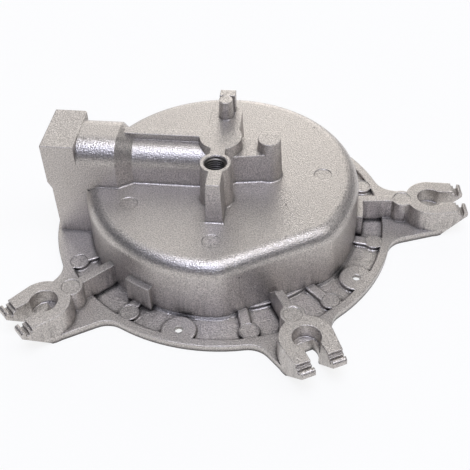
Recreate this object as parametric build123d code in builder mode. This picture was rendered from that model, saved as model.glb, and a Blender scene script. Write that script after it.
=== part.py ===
"""Die-cast burner body for a gas hob, lying on its open mouth with the underside up.

The origin is on the cup's axis, in the plane of the flange face that seals against the burner head.
+Z points to the underside, -X to the gas inlet and -Y to the threaded boss.
"""

import os
from math import cos, radians, sin, tan

from build123d import *

# Mouth flange
flange_radius = 50.0
flange_thickness = 2.2
flange_edge_width = 2.5
pocket_depth = 1.1

# Narrow ribs and round ejector pads left standing between the flange's pockets
rib_angles = (209.5, 242.2, 285.2, 316.7, 351.5, 23.5, 58.0, 75.5, 93.0, 128.0, 150.5)
rib_width = 3.2
rib_shift = 0.5
pad_setback = 4.6
pad_radius = 2.9
inlet_land_angle = 29.5

# Wide pads, each with a small hole through the flange and a recess under it
vent_angles = (261.5, 331.1, 40.7, 110.3)
vent_setback = 4.4
vent_pad_radius = 4.8
vent_radius = 1.1
vent_recess_radius = 2.6
vent_recess_depth = 1.1

# Cup with one flat facet, and the casting's common wall and draft
cup_radius = 39.8
cup_height = 19.8
cup_edge_radius = 4.2
cup_draft = 1.2
facet_angle = 300.0
facet_depth = 3.4
facet_corner_radius = 9.0
wall_thickness = 2.3
cavity_edge_radius = 2.0
root_fillet = 0.5
foot_bevel = 0.7
foot_angle = 45.0

# Low blocks against the cup's wall: start angle, end angle and height of each
wall_block_thickness = 1.6
wall_block_spans = ((237.0, 248.2, 9.3), (354.4, 7.0, 8.7))

# Clip arms: direction of each, and how far its clip's hole lies beyond the flange
arm_angles = (226.0, 298.5, 6.0)
arm_overhangs = (11.3, 6.7, 11.5)
arm_rib_width = 2.4
arm_rib_drops = (0.0, 6.5, 0.0)
arm_rib_bevel_run = 5.7
arm_pad_setback = 8.3
arm_pad_radius = 3.3
web_tip_reach = 1.8
web_tip_width = 15.4
web_shifts = (-0.4, 0.4, 0.4)
web_flare = 15.0
web_root_radius = 6.5

# Snap-in clip at the end of each arm
clip_height = 8.7
clip_draft = 3.0
clip_ring_radius = 7.2
clip_hole_radius = 3.75
clip_mouth_width = 4.8
clip_mouth_radius = 1.0
clip_ledge_height = 4.3
clip_ledge_setback = 1.8
clip_core_step = 0.35
finger_length = 10.1
finger_tip_width = 12.2
finger_lead_length = 7.1
finger_lead_angle = 43.0
barb_step_length = 3.1
barb_step_depth = 0.9
barb_notch_setback = 2.2
barb_notch_width = 1.0
barb_notch_depth = 1.9
barb_lip_drop = 0.3
barb_lip_radius = 0.8

# Inlet block on its pillar, at the -X end
block_setback = 1.0
block_length = 9.4
block_corner_radius = 1.0
block_top = 33.4
pillar_setback = 1.1
pillar_step_bottom = 18.5
pillar_step_rise = 2.2

# Gas tube from the block to the centre, with the level rib that runs behind its slim part
tube_y = -1.1
tube_height = 24.5
fat_radius = 8.8
fat_end = -28.7
fat_shoulder_radius = 6.4
slim_radius = 6.0
slim_shoulder_radius = 5.7
slim_start = -24.5
tube_rib_front = -0.6
tube_rib_width = 2.8

# Bosses and ribs that share one top level over the plate
boss_top = 32.4
boss_draft = 2.5
disc_radius = 5.95
screw_boss_reach = 11.8
screw_boss_radius = 4.2
neck_width = 4.2
gusset_length = 9.6
gusset_width = 3.8
gusset_shift = 0.45
rear_pad_width = 9.0
rear_pad_reach = 11.0
rear_pad_shift = 0.45

# Round post on the right and the lower web that carries it
post_reach = 13.6
post_radius = 3.2
post_web_top = 29.0
post_web_root_width = 10.8

# Locating peg on the rear pad, with a fin behind it
peg_top = 37.9
peg_setback = 1.2
peg_radius = 1.95
fin_width = 4.4
fin_depth = 2.9
fin_shift = 0.25

# Threads, at their major diameter, and the gas passage
screw_thread_radius = 3.0
screw_thread_depth = 10.0
inlet_thread_radius = 6.5
inlet_thread_depth = 15.0
jet_thread_radius = 4.5
jet_thread_margin = 0.1
passage_radius = 3.0
thread_chamfer = 0.3

# Ejector marks, sunk a little into the plate and the pads
mark_radius = 2.5
mark_depth = 0.15
plate_mark_angles = (213.3, 271.2, 2.0)
plate_mark_setback = 10.8

pocket_floor = flange_thickness - pocket_depth
pocket_edge_radius = 0.45 * pocket_depth
pad_reach = flange_radius - pad_setback
vent_reach = flange_radius - vent_setback
# The pockets run in under the cup's wall, and a rib's width behind the pads where these are nearer
pocket_inner_radius = min(cup_radius - wall_thickness, pad_reach - pad_radius - rib_width)
facet_distance = cup_radius - facet_depth
arm_reaches = [flange_radius + overhang for overhang in arm_overhangs]
block_end = block_setback - flange_radius
plate_root = cup_height - wall_thickness / 2
boss_height = boss_top - plate_root
boss_growth = boss_height * tan(radians(boss_draft))


def drafted_post(x, y, radius, bottom, top):
    """Round post that grows towards its foot by the casting's draft."""
    height = top - bottom
    foot_radius = radius + height * tan(radians(boss_draft))
    with Locations((x, y, bottom)):
        Cone(foot_radius, radius, height, align=(Align.CENTER, Align.CENTER, Align.MIN))


def arm_plane(angle, reach, height=0.0):
    """Level plane at a clip's hole centre, with X pointing out along the arm."""
    outward = Vector(cos(radians(angle)), sin(radians(angle)), 0)
    return Plane(origin=outward * reach + Vector(0, 0, height), x_dir=outward, z_dir=(0, 0, 1))


def arm_side_plane(angle, reach):
    """Upright plane along an arm, with X pointing out from the clip's hole centre and Y up."""
    level = arm_plane(angle, reach)
    return Plane(origin=level.origin, x_dir=level.x_dir, z_dir=-level.y_dir)


def tube_plane(x):
    """Upright plane across the gas tube, with its origin under the tube's axis at the plate's root."""
    return Plane(origin=(x, tube_y, plate_root), x_dir=(0, 1, 0), z_dir=(1, 0, 0))


def tube_section(half_width, shoulder_radius):
    """Arched section of the gas tube: upright walls, round shoulders and a flat crown."""
    crown = tube_height + half_width - plate_root
    arch = Rectangle(2 * half_width, crown, align=(Align.CENTER, Align.MIN))
    fillet(arch.vertices().group_by(Axis.Y)[-1], shoulder_radius)


with BuildPart() as burner_body:
    # Flange plate with a flared web out to each clip
    with BuildSketch() as rim:
        Circle(flange_radius)
        for angle, reach, shift in zip(arm_angles, arm_reaches, web_shifts):
            web_length = reach + web_tip_reach
            web_root_width = web_tip_width + 2 * web_length * tan(radians(web_flare))
            with PolarLocations(web_length, 1, start_angle=angle):
                Polygon(
                    (0, shift + web_tip_width / 2),
                    (-web_length, shift + web_root_width / 2),
                    (-web_length, shift - web_root_width / 2),
                    (0, shift - web_tip_width / 2),
                    align=None,
                )
        corners = rim.vertices().filter_by(
            lambda v: abs(Vector(v).length - flange_radius) < 0.01
        )
        fillet(corners, web_root_radius)
    extrude(amount=flange_thickness)
    rim_outline = burner_body.faces().sort_by(Axis.Z)[-1].outer_wire()

    # Shallow pockets in the flange, which leave ribs, pads and a plain land by the inlet
    with BuildSketch(Plane.XY.offset(flange_thickness)):
        Circle(flange_radius - flange_edge_width)
        Circle(pocket_inner_radius, mode=Mode.SUBTRACT)
        land_half_width = flange_radius * tan(radians(inlet_land_angle))
        Polygon(
            (0, 0),
            (-flange_radius, land_half_width),
            (-flange_radius, -land_half_width),
            align=None,
            mode=Mode.SUBTRACT,
        )
        for angle in rib_angles:
            with PolarLocations(pad_reach, 1, start_angle=angle):
                Circle(pad_radius, mode=Mode.SUBTRACT)
                with Locations((0, -rib_shift)):
                    Rectangle(
                        pad_reach, rib_width, align=(Align.MAX, Align.CENTER), mode=Mode.SUBTRACT
                    )
        for angle in vent_angles:
            with PolarLocations(vent_reach, 1, start_angle=angle):
                Circle(vent_pad_radius, mode=Mode.SUBTRACT)
    extrude(amount=-pocket_depth, mode=Mode.SUBTRACT)
    for edge_height in (pocket_floor, flange_thickness):
        level_edges = burner_body.edges().filter_by_position(
            Axis.Z, edge_height - mark_depth, edge_height + mark_depth
        ).filter_by(Plane.XY)
        fillet(
            level_edges.filter_by(lambda edge: edge.distance_to(rim_outline) > mark_depth),
            pocket_edge_radius,
        )
    for angle in vent_angles:
        with PolarLocations(vent_reach, 1, start_angle=angle):
            Hole(vent_radius)
            Cylinder(
                vent_recess_radius,
                vent_recess_depth,
                align=(Align.CENTER, Align.CENTER, Align.MIN),
                mode=Mode.SUBTRACT,
            )

    # Cup, with its facet, a generous round where the wall turns into the plate and a bevelled foot
    with BuildSketch() as cup_plan:
        Circle(cup_radius)
        with PolarLocations(facet_distance, 1, start_angle=facet_angle):
            Rectangle(cup_radius, 2 * cup_radius, align=(Align.MIN, Align.CENTER), mode=Mode.SUBTRACT)
        facet_centre = Vector(facet_distance, 0, 0).rotate(Axis.Z, facet_angle)
        fillet(cup_plan.vertices().sort_by_distance(facet_centre)[:2], facet_corner_radius)
    extrude(amount=cup_height, taper=cup_draft)
    fillet(burner_body.edges().group_by(Axis.Z)[-1], cup_edge_radius)
    plate_outline = burner_body.faces().sort_by(Axis.Z)[-1].outer_wire()
    with BuildSketch(Plane.XY.offset(pocket_floor)):
        add(cup_plan.sketch)
        offset(amount=foot_bevel)
    extrude(amount=foot_bevel + mark_depth, taper=foot_angle)

    # Low blocks against the foot of the cup's wall
    for start_angle, end_angle, top in wall_block_spans:
        sweep_angle = (end_angle - start_angle) % 360
        with BuildSketch():
            with BuildLine():
                inner = CenterArc((0, 0), cup_radius - wall_thickness, start_angle, sweep_angle)
                outer = CenterArc((0, 0), cup_radius + wall_block_thickness, start_angle, sweep_angle)
                Line(inner @ 0, outer @ 0)
                Line(inner @ 1, outer @ 1)
            make_face()
        extrude(amount=top)

    # Inlet block, which overhangs its pillar by a bevelled step
    pillar_end = block_end + pillar_setback
    with BuildSketch(Plane.XZ.offset(-tube_y)):
        Polygon(
            (block_end, block_top),
            (block_end + block_length, block_top),
            (block_end + block_length, tube_height),
            (wall_thickness - cup_radius, tube_height),
            (wall_thickness - cup_radius, 0),
            (pillar_end, 0),
            (pillar_end, pillar_step_bottom),
            (block_end, pillar_step_bottom + pillar_step_rise),
            align=None,
        )
    extrude(amount=fat_radius, both=True)
    block_corner = Vector(block_end + block_length, tube_y + fat_radius, block_top)
    fillet(burner_body.edges().filter_by(Axis.Z).sort_by_distance(block_corner)[0], block_corner_radius)

    # Gas tube: fat, a sloping step, slim, with straight walls from its shoulders down to the plate
    tube_start = block_end + block_length / 2
    with BuildSketch(tube_plane(tube_start)):
        tube_section(fat_radius, fat_shoulder_radius)
    extrude(amount=fat_end - tube_start)
    with BuildSketch(tube_plane(fat_end)):
        tube_section(fat_radius, fat_shoulder_radius)
    with BuildSketch(tube_plane(slim_start)):
        tube_section(slim_radius, slim_shoulder_radius)
    loft(ruled=True)
    with BuildSketch(tube_plane(slim_start)):
        tube_section(slim_radius, slim_shoulder_radius)
    extrude(amount=-slim_start)

    # Disc on the cup's axis, screw boss in front of it, post to the right
    drafted_post(0, 0, disc_radius, plate_root, boss_top)
    drafted_post(0, -screw_boss_reach, screw_boss_radius, plate_root, boss_top)
    drafted_post(post_reach, 0, post_radius, plate_root, boss_top)

    # Straight ribs with the same top: neck, gusset and tube rib
    with BuildSketch(Plane.XY.offset(plate_root)):
        Rectangle(
            neck_width + 2 * boss_growth, screw_boss_reach, align=(Align.CENTER, Align.MAX)
        )
        with Locations((gusset_shift, -screw_boss_reach)):
            Rectangle(
                gusset_width + 2 * boss_growth,
                gusset_length + boss_growth,
                align=(Align.CENTER, Align.MAX),
            )
    extrude(amount=boss_height, taper=boss_draft)
    with BuildSketch(Plane.XY.offset(plate_root)):
        with Locations((fat_end, tube_rib_front)):
            Rectangle(-fat_end, tube_rib_width, align=Align.MIN)
    extrude(amount=boss_height)

    # Rear pad with its peg and fin
    with BuildSketch(Plane.XY.offset(plate_root)):
        with Locations((rear_pad_shift, rear_pad_reach / 2)):
            SlotCenterToCenter(rear_pad_reach, rear_pad_width + 2 * boss_growth, rotation=90)
    extrude(amount=boss_height, taper=boss_draft)
    peg_reach = rear_pad_reach - peg_setback
    drafted_post(rear_pad_shift, peg_reach, peg_radius, boss_top - wall_thickness, peg_top)
    with BuildSketch(Plane.XY.offset(boss_top)):
        with Locations((rear_pad_shift + fin_shift, peg_reach + peg_radius)):
            Rectangle(fin_width, fin_depth, align=(Align.CENTER, Align.MIN))
    extrude(amount=peg_top - boss_top)

    # Lower web from the disc to the round post
    with BuildSketch(Plane.XY.offset(plate_root)):
        Polygon(
            (0, post_web_root_width / 2),
            (post_reach, post_radius),
            (post_reach, -post_radius),
            (0, -post_web_root_width / 2),
            align=None,
        )
    extrude(amount=post_web_top - plate_root)

    # Soft root where the bosses and ribs grow out of the plate
    plate_edges = burner_body.edges().filter_by_position(
        Axis.Z, cup_height - mark_depth, cup_height + mark_depth
    )
    fillet(
        plate_edges.filter_by(lambda edge: edge.distance_to(plate_outline) > mark_depth),
        root_fillet,
    )

    # Clip arms: tall rib from the cup, round pad, snap-in ring and two fingers
    clip_growth = clip_height * tan(radians(clip_draft))
    for angle, reach, drop in zip(arm_angles, arm_reaches, arm_rib_drops):
        level = arm_plane(angle, reach)
        rib_start = facet_distance - wall_thickness - reach
        with BuildSketch(arm_side_plane(angle, reach)):
            Polygon(
                (rib_start, 0),
                (-arm_pad_setback, 0),
                (-arm_pad_setback, clip_height),
                (rib_start + arm_rib_bevel_run, clip_height),
                (rib_start, clip_height - drop),
                align=None,
            )
        extrude(amount=arm_rib_width / 2, both=True)
        with BuildSketch(level):
            with Locations((-arm_pad_setback, 0)):
                Circle(arm_pad_radius)
        extrude(amount=clip_height)
        with BuildSketch(level):
            Circle(clip_ring_radius + clip_growth)
        extrude(amount=clip_height, taper=clip_draft)
        with BuildSketch(level):
            Polygon(
                (0, clip_ring_radius),
                (finger_length, finger_tip_width / 2),
                (finger_length, -finger_tip_width / 2),
                (0, -clip_ring_radius),
                align=None,
            )
        extrude(amount=clip_height)

    # Each clip's hole over its inner ledge, its open mouth and the barbed ends of its fingers
    finger_end = finger_length + wall_thickness
    lead_start = finger_length - finger_lead_length
    step_start = finger_length - barb_step_length
    notch_start = finger_length - barb_notch_setback
    lip_start = notch_start + barb_notch_width
    lip_top = clip_height - barb_lip_drop
    lead_slope = tan(radians(finger_lead_angle))
    for angle, reach in zip(arm_angles, arm_reaches):
        core_radius = clip_hole_radius - clip_core_step
        for height, radius in ((clip_ledge_height, clip_hole_radius), (0.0, core_radius)):
            with BuildSketch(arm_plane(angle, reach, height)) as opening:
                Circle(radius)
                Rectangle(finger_end, clip_mouth_width, align=(Align.MIN, Align.CENTER))
                fillet(opening.vertices().group_by(SortBy.DISTANCE)[0], clip_mouth_radius)
                if height == 0.0:
                    with Locations((-clip_ledge_setback, 0)):
                        Rectangle(
                            radius, 2 * radius, align=(Align.MAX, Align.CENTER), mode=Mode.SUBTRACT
                        )
            extrude(amount=clip_height, mode=Mode.SUBTRACT)
        with BuildSketch(arm_side_plane(angle, reach)):
            Polygon(
                (lead_start, 0),
                (lead_start, -wall_thickness),
                (finger_end, -wall_thickness),
                (finger_end, lead_slope * (finger_end - lead_start)),
                align=None,
            )
            with BuildLine():
                Polyline(
                    (step_start, 2 * clip_height),
                    (step_start, clip_height - barb_step_depth),
                    (notch_start, clip_height - barb_step_depth),
                    (notch_start, clip_height - barb_notch_depth),
                    (lip_start, clip_height - barb_notch_depth),
                    (lip_start, lip_top),
                    (finger_length - barb_lip_radius, lip_top),
                )
                RadiusArc(
                    (finger_length - barb_lip_radius, lip_top),
                    (finger_length, lip_top - barb_lip_radius),
                    barb_lip_radius,
                )
                Polyline(
                    (finger_length, lip_top - barb_lip_radius),
                    (finger_end, lip_top - barb_lip_radius),
                    (finger_end, 2 * clip_height),
                    (step_start, 2 * clip_height),
                )
            make_face()
        extrude(amount=2 * clip_ring_radius, both=True, mode=Mode.SUBTRACT)

    # Hollow of the cup, rounded where its wall meets its ceiling
    ceiling = cup_height - wall_thickness
    with BuildSketch():
        add(cup_plan.sketch)
        offset(amount=-wall_thickness)
    extrude(amount=ceiling, taper=cup_draft, mode=Mode.SUBTRACT)
    fillet(
        burner_body.edges().filter_by_position(Axis.Z, ceiling - mark_depth, ceiling + mark_depth),
        cavity_edge_radius,
    )

    # Gas way: inlet thread, passage along the tube and jet thread on the cup's axis
    with Locations(Plane((block_end, tube_y, tube_height), z_dir=(-1, 0, 0))):
        CounterSinkHole(inlet_thread_radius, inlet_thread_radius + thread_chamfer, inlet_thread_depth)
        Hole(passage_radius, -block_end)
    jet_thread_top = tube_height + passage_radius + jet_thread_margin
    with Locations(Plane((0, 0, ceiling), z_dir=(0, 0, -1))):
        CounterSinkHole(jet_thread_radius, jet_thread_radius + thread_chamfer, jet_thread_top - ceiling)

    # Blind thread in the screw boss
    with Locations((0, -screw_boss_reach, boss_top)):
        CounterSinkHole(screw_thread_radius, screw_thread_radius + thread_chamfer, screw_thread_depth)

    # Ejector marks on the plate, on the flange's pads and on the arms
    mark_places = (
        [(cup_radius - plate_mark_setback, angle, cup_height) for angle in plate_mark_angles]
        + [(pad_reach, angle, flange_thickness) for angle in rib_angles]
        + [(reach - arm_pad_setback, angle, clip_height) for angle, reach in zip(arm_angles, arm_reaches)]
    )
    for reach, angle, height in mark_places:
        with Locations(arm_plane(angle, reach, height)):
            Hole(mark_radius, mark_depth)

burner_body.part.label = "burner_body"
os.makedirs("parts", exist_ok=True)
export_step(burner_body.part, "parts/burner_body.step")
print("solids", len(burner_body.part.solids()), "volume", burner_body.part.volume)
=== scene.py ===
"""Die-cast burner body for a gas hob, shown lying on its open mouth on a pale studio floor."""
from math import cos, pi, radians, sin

import bpy
import numpy as np
from mathutils import Matrix, Vector


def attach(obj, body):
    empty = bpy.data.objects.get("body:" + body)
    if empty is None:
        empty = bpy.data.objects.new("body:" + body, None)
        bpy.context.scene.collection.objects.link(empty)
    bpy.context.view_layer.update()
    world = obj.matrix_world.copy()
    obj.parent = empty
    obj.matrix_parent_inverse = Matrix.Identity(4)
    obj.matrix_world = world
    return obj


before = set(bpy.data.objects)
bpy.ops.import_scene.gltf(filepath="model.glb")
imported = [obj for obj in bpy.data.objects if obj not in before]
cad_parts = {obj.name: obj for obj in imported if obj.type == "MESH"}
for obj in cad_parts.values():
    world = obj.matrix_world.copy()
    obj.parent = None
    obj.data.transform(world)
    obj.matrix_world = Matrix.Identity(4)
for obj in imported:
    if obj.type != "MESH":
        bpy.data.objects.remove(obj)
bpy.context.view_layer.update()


# Burner body: one aluminium pressure die casting, left raw from the die and shot-blasted.
# Cup, flange, arms, tube and bosses are all one piece, so its solid is shown as it is.
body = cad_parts["burner_body"]


def linear(hex_colour):
    """sRGB hex value to linear colour: each channel is undone from the display curve."""
    channels = [int(hex_colour[i:i + 2], 16) / 255 for i in (1, 3, 5)]
    undone = [c / 12.92 if c <= 0.04045 else ((c + 0.055) / 1.055) ** 2.4 for c in channels]
    return (*undone, 1.0)


def add(tree, kind, links=(), **settings):
    """Adds one node, sets its properties or inputs by name and links its inputs from other nodes."""
    node = tree.nodes.new(kind)
    for name, value in settings.items():
        if hasattr(node, name):
            setattr(node, name, value)
        else:
            node.inputs[name.replace("_", " ")].default_value = value
    for socket, source in dict(links).items():
        tree.links.new(source, node.inputs[socket])
    return node


def die_cast_aluminium():
    """Raw die-cast aluminium, blasted: a neutral grey skin, half matt, with a fine grain that sparkles
    where light glances off it, and painted shade in the corners of the flange's pockets and low on
    upright walls."""
    material = bpy.data.materials.new("die_cast_aluminium")
    material.use_nodes = True
    tree = material.node_tree
    tree.nodes.clear()
    coordinates = add(tree, "ShaderNodeTexCoord")
    place = coordinates.outputs["Object"]
    # Blast grit of about 0.1 mm, drawn at 0.32 mm so that it shows at the size of the picture
    grain = add(tree, "ShaderNodeTexNoise", {"Vector": place}, Scale=1 / 0.00032, Detail=0.0)
    # Cloudy patches about 12 mm across, from the way the melt froze against the die
    patch = add(tree, "ShaderNodeTexNoise", {"Vector": place}, Scale=1 / 0.012, Detail=2.0)
    tone = add(tree, "ShaderNodeValToRGB", {"Fac": grain.outputs["Fac"]})
    tone.color_ramp.elements[0].position = 0.25
    tone.color_ramp.elements[0].color = linear("#a39d98")
    tone.color_ramp.elements[1].position = 0.75
    tone.color_ramp.elements[1].color = linear("#dad3cd")
    # Painted shade: the corners of the flange's pockets, 2.2 mm above the mouth, are darkened where the
    # world is hidden close by, and hardly above that
    level = add(tree, "ShaderNodeSeparateXYZ", {"Vector": place})
    darkest = add(tree, "ShaderNodeMapRange", {
        "Value": level.outputs["Z"],
    }, From_Min=0.0019, From_Max=0.0024, To_Min=0.1, To_Max=0.75)
    corner = add(tree, "ShaderNodeAmbientOcclusion", samples=8, Distance=0.0016)
    shade = add(tree, "ShaderNodeMapRange", {
        "Value": corner.outputs["AO"],
        "To Min": darkest.outputs["Result"],
    }, From_Min=0.6, From_Max=0.93, To_Max=1.0)
    corner_shaded = add(tree, "ShaderNodeVectorMath", {
        0: tone.outputs["Color"],
        "Scale": shade.outputs["Result"],
    }, operation="SCALE")
    # Drag lines about 1 mm apart, drawn up upright walls as the casting left the die, also carry painted
    # shade
    #     that darkens the lower walls: dark just above the flange and gone 8.5 mm above the mouth
    drawn = add(tree, "ShaderNodeMapping", {"Vector": place}, Scale=(1 / 0.001, 1 / 0.001, 1 / 0.03))
    drag = add(tree, "ShaderNodeTexNoise", {"Vector": drawn.outputs["Vector"]}, Scale=1.0, Detail=1.0)
    centimetre = add(tree, "ShaderNodeMapRange", {"Value": level.outputs["Z"]}, From_Max=0.01)
    height = add(tree, "ShaderNodeValToRGB", {"Fac": centimetre.outputs["Result"]})
    flange_top, wall_foot, drag_end = 0.22, 0.24, 0.85
    height.color_ramp.elements[0].position = flange_top
    height.color_ramp.elements[0].color = (1, 1, 1, 1)
    height.color_ramp.elements[1].position = drag_end
    height.color_ramp.elements.new(wall_foot).color = (0.66, 0.66, 0.66, 1)
    facing = add(tree, "ShaderNodeSeparateXYZ", {"Vector": coordinates.outputs["Normal"]})
    upright = add(tree, "ShaderNodeMapRange", {
        "Value": facing.outputs["Z"],
        "To Min": height.outputs["Color"],
    }, From_Min=0.2, From_Max=0.6, To_Max=1.0)
    drag_and_shade = add(tree, "ShaderNodeMapRange", {
        "Value": drag.outputs["Fac"],
        "To Max": upright.outputs["Result"],
    }, From_Min=0.48, From_Max=0.68, To_Min=1.0)
    dragged_and_shaded = add(tree, "ShaderNodeVectorMath", {
        0: corner_shaded.outputs["Vector"],
        "Scale": drag_and_shade.outputs["Result"],
    }, operation="SCALE")
    # Gas pores, dark specks under 1 mm scattered in 9 mm cells, of which few reach the surface
    pores = add(tree, "ShaderNodeTexVoronoi", {"Vector": place}, Scale=1 / 0.009)
    specks = add(tree, "ShaderNodeMapRange", {
        "Value": pores.outputs["Distance"],
    }, From_Min=0.02, From_Max=0.05, To_Min=0.3, To_Max=1.0)
    pitted = add(tree, "ShaderNodeVectorMath", {
        0: dragged_and_shaded.outputs["Vector"],
        "Scale": specks.outputs["Result"],
    }, operation="SCALE")
    rough = add(tree, "ShaderNodeMapRange", {
        "Value": patch.outputs["Fac"],
    }, From_Min=0.3, From_Max=0.7, To_Min=0.29, To_Max=0.36)
    # Outer edges, sharp in the solid, catch the light as if rounded by 0.4 mm
    edge = add(tree, "ShaderNodeBevel", samples=8, Radius=0.0004)
    bump = add(tree, "ShaderNodeBump", {
        "Height": grain.outputs["Fac"],
        "Normal": edge.outputs["Normal"],
    }, Strength=1.0, Distance=0.0001)
    surface = add(tree, "ShaderNodeBsdfPrincipled", {
        "Base Color": pitted.outputs["Vector"],
        "Roughness": rough.outputs["Result"],
        "Normal": bump.outputs["Normal"],
    }, Metallic=0.76)
    add(tree, "ShaderNodeOutputMaterial", {"Surface": surface.outputs["BSDF"]})
    return material


body.data.materials.clear()
body.data.materials.append(die_cast_aluminium())


# Cut threads: the screw boss, the gas inlet and the jet's seat are drilled and tapped in the casting.
# Each thread is one helical ridge of dark bare metal left on the wall of its hole, with painted shade on
# it.
def thread_ridge(name, start, along, wall_radius, pitch, length):
    """Ridge of an inside thread: a trapezium, wide at the wall and flat at its crest, is carried along a
    helix that climbs one pitch a turn; over its first and last half turn it runs out into the wall."""
    steps_a_turn = 48
    foot_half_width, crest_half_width, crest_height = 0.44 * pitch, 0.13 * pitch, 0.54 * pitch
    sunk = 0.00004
    least_share = 0.05
    turns = length / pitch - 1
    angle = np.linspace(0, 2 * pi * turns, int(steps_a_turn * turns) + 1)[:, None]
    rise = np.array((-foot_half_width, -crest_half_width, crest_half_width, foot_half_width))
    stands = np.array((0.0, 1.0, 1.0, 0.0))
    run_out = np.clip(np.minimum(angle, angle[-1] - angle) / pi, least_share, 1)
    radius = wall_radius + sunk - stands * run_out * (crest_height + sunk)
    climb = pitch * angle / (2 * pi) + pitch / 2 + rise
    axis = Vector(along)
    side = axis.orthogonal().normalized()
    across = axis.cross(side)
    turned = np.cos(angle)[..., None] * np.array(side) + np.sin(angle)[..., None] * np.array(across)
    points = np.array(start) + climb[..., None] * np.array(axis) + radius[..., None] * turned
    grid = np.arange(radius.size).reshape(radius.shape)
    after = np.roll(grid, -1, axis=1)
    walls = np.stack((grid[:-1], after[:-1], after[1:], grid[1:]), -1).reshape(-1, 4)
    faces = np.vstack((walls, grid[:1, ::-1], grid[-1:]))
    mesh = bpy.data.meshes.new(name)
    mesh.from_pydata(points.reshape(-1, 3).tolist(), [], faces.tolist())
    ridge = bpy.data.objects.new(name, mesh)
    bpy.context.scene.collection.objects.link(ridge)
    return ridge


def tapped_aluminium():
    """Cut aluminium, dark bare metal whose crests glint a little, broken up by the fine tearing that a
    tap leaves, and darkened by painted shade that is deepest on the outer turns."""
    material = bpy.data.materials.new("tapped_aluminium")
    material.use_nodes = True
    tree = material.node_tree
    tree.nodes.clear()
    place = add(tree, "ShaderNodeTexCoord").outputs["Object"]
    # Tears about 0.2 mm long on the flanks, and painted shade read from how open each spot is, darkest
    # on the outer turns
    tears = add(tree, "ShaderNodeTexNoise", {"Vector": place}, Scale=1 / 0.0002, Detail=2.0)
    tone = add(tree, "ShaderNodeValToRGB", {"Fac": tears.outputs["Fac"]})
    tone.color_ramp.elements[0].color = linear("#7a7571")
    tone.color_ramp.elements[1].color = linear("#a19c97")
    openness = add(tree, "ShaderNodeAmbientOcclusion", samples=8, Distance=0.004)
    openness_shade = add(tree, "ShaderNodeMapRange", {
        "Value": openness.outputs["AO"],
    }, From_Min=0.2, From_Max=0.8, To_Min=0.8, To_Max=0.4)
    shaded_tone = add(tree, "ShaderNodeVectorMath", {
        0: tone.outputs["Color"],
        "Scale": openness_shade.outputs["Result"],
    }, operation="SCALE")
    bump = add(tree, "ShaderNodeBump", {"Height": tears.outputs["Fac"]}, Strength=0.6, Distance=0.00003)
    surface = add(tree, "ShaderNodeBsdfPrincipled", {
        "Base Color": shaded_tone.outputs["Vector"],
        "Normal": bump.outputs["Normal"],
    }, Metallic=1.0, Roughness=0.36)
    add(tree, "ShaderNodeOutputMaterial", {"Surface": surface.outputs["BSDF"]})
    return material


cut_metal = tapped_aluminium()
# Name, middle of the hole's inner end, direction out of the hole, wall radius, pitch and length
threads = (
    ("screw_thread_ridge", (0, -0.0118, 0.0224), (0, 0, 1), 0.0030, 0.00075, 0.0096),
    ("inlet_thread_ridge", (-0.0340, -0.0011, 0.0245), (-1, 0, 0), 0.0065, 0.0013, 0.0146),
    ("jet_thread_ridge", (0, 0, 0.0276), (0, 0, -1), 0.0045, 0.0010, 0.0097),
)
for name, start, along, wall_radius, pitch, length in threads:
    ridge = thread_ridge(name, start, along, wall_radius, pitch, length)
    ridge.data.materials.append(cut_metal)
    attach(ridge, "root")


# Studio floor: a wide round sheet of white paper under the part that keeps its soft shadow.
# Far out it is turned up into a low rim, so that it also stands behind the part in low views.
floor_mesh = bpy.data.meshes.new("floor")
reach = 6.0
rim_height = 0.45
corners = 96
around = np.linspace(0, 2 * pi, corners, endpoint=False)
ring = np.stack((reach * np.cos(around), reach * np.sin(around), 0 * around), -1)
rim = ring + (0, 0, rim_height)
first = np.arange(corners)
after = np.roll(first, -1)
wall = np.stack((first, first + corners, after + corners, after), -1)
floor_mesh.from_pydata(np.vstack((ring, rim)).tolist(), [], [first.tolist(), *wall.tolist()])
floor = bpy.data.objects.new("floor", floor_mesh)
bpy.context.scene.collection.objects.link(floor)
paper = bpy.data.materials.new("white_paper")
paper.use_nodes = True
tree = paper.node_tree
tree.nodes.clear()
# Seen straight or in a reflection, the paper is white by this share; the rest takes light and shadow
glow_share = 0.85
ray = add(tree, "ShaderNodeLightPath")
straight = add(tree, "ShaderNodeMath", {
    0: ray.outputs["Is Camera Ray"],
    1: ray.outputs["Is Glossy Ray"],
}, operation="MAXIMUM")
seen = add(tree, "ShaderNodeMath", {
    0: straight.outputs["Value"],
    1: ray.outputs["Is Transmission Ray"],
}, operation="MAXIMUM")
share = add(tree, "ShaderNodeMath", {0: seen.outputs["Value"]}, operation="MULTIPLY")
share.inputs[1].default_value = glow_share
matt = add(tree, "ShaderNodeBsdfDiffuse", Color=linear("#f2f2f2"))
glow = add(tree, "ShaderNodeEmission", Color=(1, 1, 1, 1), Strength=1.0)
both = add(tree, "ShaderNodeMixShader", {
    "Fac": share.outputs["Value"],
    1: matt.outputs["BSDF"],
    2: glow.outputs["Emission"],
})
add(tree, "ShaderNodeOutputMaterial", {"Surface": both.outputs["Shader"]})
floor_mesh.materials.append(paper)


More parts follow.
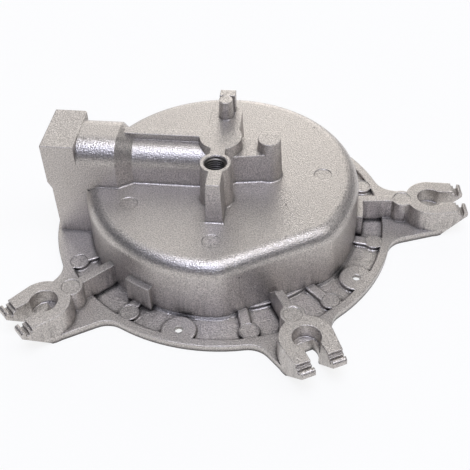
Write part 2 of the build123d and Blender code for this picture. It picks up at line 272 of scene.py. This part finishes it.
# Studio light: a dark room with a few soft boxes, painted on the world as round lobes.
# Each has a direction (azimuth from the front to the right, elevation), a tightness and a brightness.
soft_boxes = (
    (0, 90, 22, (3.7, 3.7, 3.7)),
    (180, 8, 22, (3.2, 3.1, 3.0)),
    (180, 32, 22, (1.15, 1.15, 1.1)),
    (216, 32, 22, (1.4, 1.4, 1.4)),
    (90, 54, 22, (2.3, 2.3, 2.3)),
    (0, 54, 22, (1.1, 1.15, 1.5)),
    (0, 74, 40, (5.2, 5.7, 7.5)),
)
world = bpy.data.worlds.new("studio")
bpy.context.scene.world = world
world.use_nodes = True
tree = world.node_tree
tree.nodes.clear()
direction = add(tree, "ShaderNodeTexCoord").outputs["Generated"]
total = None
for azimuth, elevation, tightness, brightness in soft_boxes:
    towards = (
        cos(radians(elevation)) * sin(radians(azimuth)),
        -cos(radians(elevation)) * cos(radians(azimuth)),
        sin(radians(elevation)),
    )
    facing = add(tree, "ShaderNodeVectorMath", {0: direction}, operation="DOT_PRODUCT")
    facing.inputs[1].default_value = towards
    ahead = add(tree, "ShaderNodeMath", {0: facing.outputs["Value"]}, operation="MAXIMUM")
    ahead.inputs[1].default_value = 0.0
    lobe = add(tree, "ShaderNodeMath", {0: ahead.outputs["Value"]}, operation="POWER")
    lobe.inputs[1].default_value = tightness
    tinted = add(tree, "ShaderNodeVectorMath", {0: lobe.outputs["Value"]}, operation="MULTIPLY")
    tinted.inputs[1].default_value = brightness
    if total is None:
        total = tinted
    else:
        total = add(tree, "ShaderNodeVectorMath", {
            0: total.outputs["Vector"],
            1: tinted.outputs["Vector"],
        }, operation="ADD")
sky = add(tree, "ShaderNodeBackground", {"Color": total.outputs["Vector"]}, Strength=1.0)
add(tree, "ShaderNodeOutputWorld", {"Surface": sky.outputs["Background"]})


# Camera: above the front of the part, a little to its right, tilted with the picture.
# Its place and its focal length, given in pixels of the picture's width, were fitted to the photograph.
camera_data = bpy.data.cameras.new("camera")
sensor_width = 36.0
focal_length, picture_width = 800, 470
camera_data.sensor_width = sensor_width
camera_data.lens = sensor_width * focal_length / picture_width
camera_data.clip_start = 0.01
camera = bpy.data.objects.new("camera", camera_data)
look_down = 0.7605
turn = radians(7.5)
roll = -0.031
distance = 0.24049
swing = Matrix.Rotation(turn, 4, "Z")
target = swing @ Vector((0.0031333, -0.0059848, 0))
aim = swing @ Matrix.Rotation(pi / 2 - look_down, 4, "X") @ Matrix.Rotation(roll, 4, "Z")
camera.matrix_world = Matrix.Translation(target) @ aim @ Matrix.Translation((0, 0, distance))
bpy.context.scene.collection.objects.link(camera)
bpy.context.scene.camera = camera
bpy.context.scene.view_settings.view_transform = "Standard"
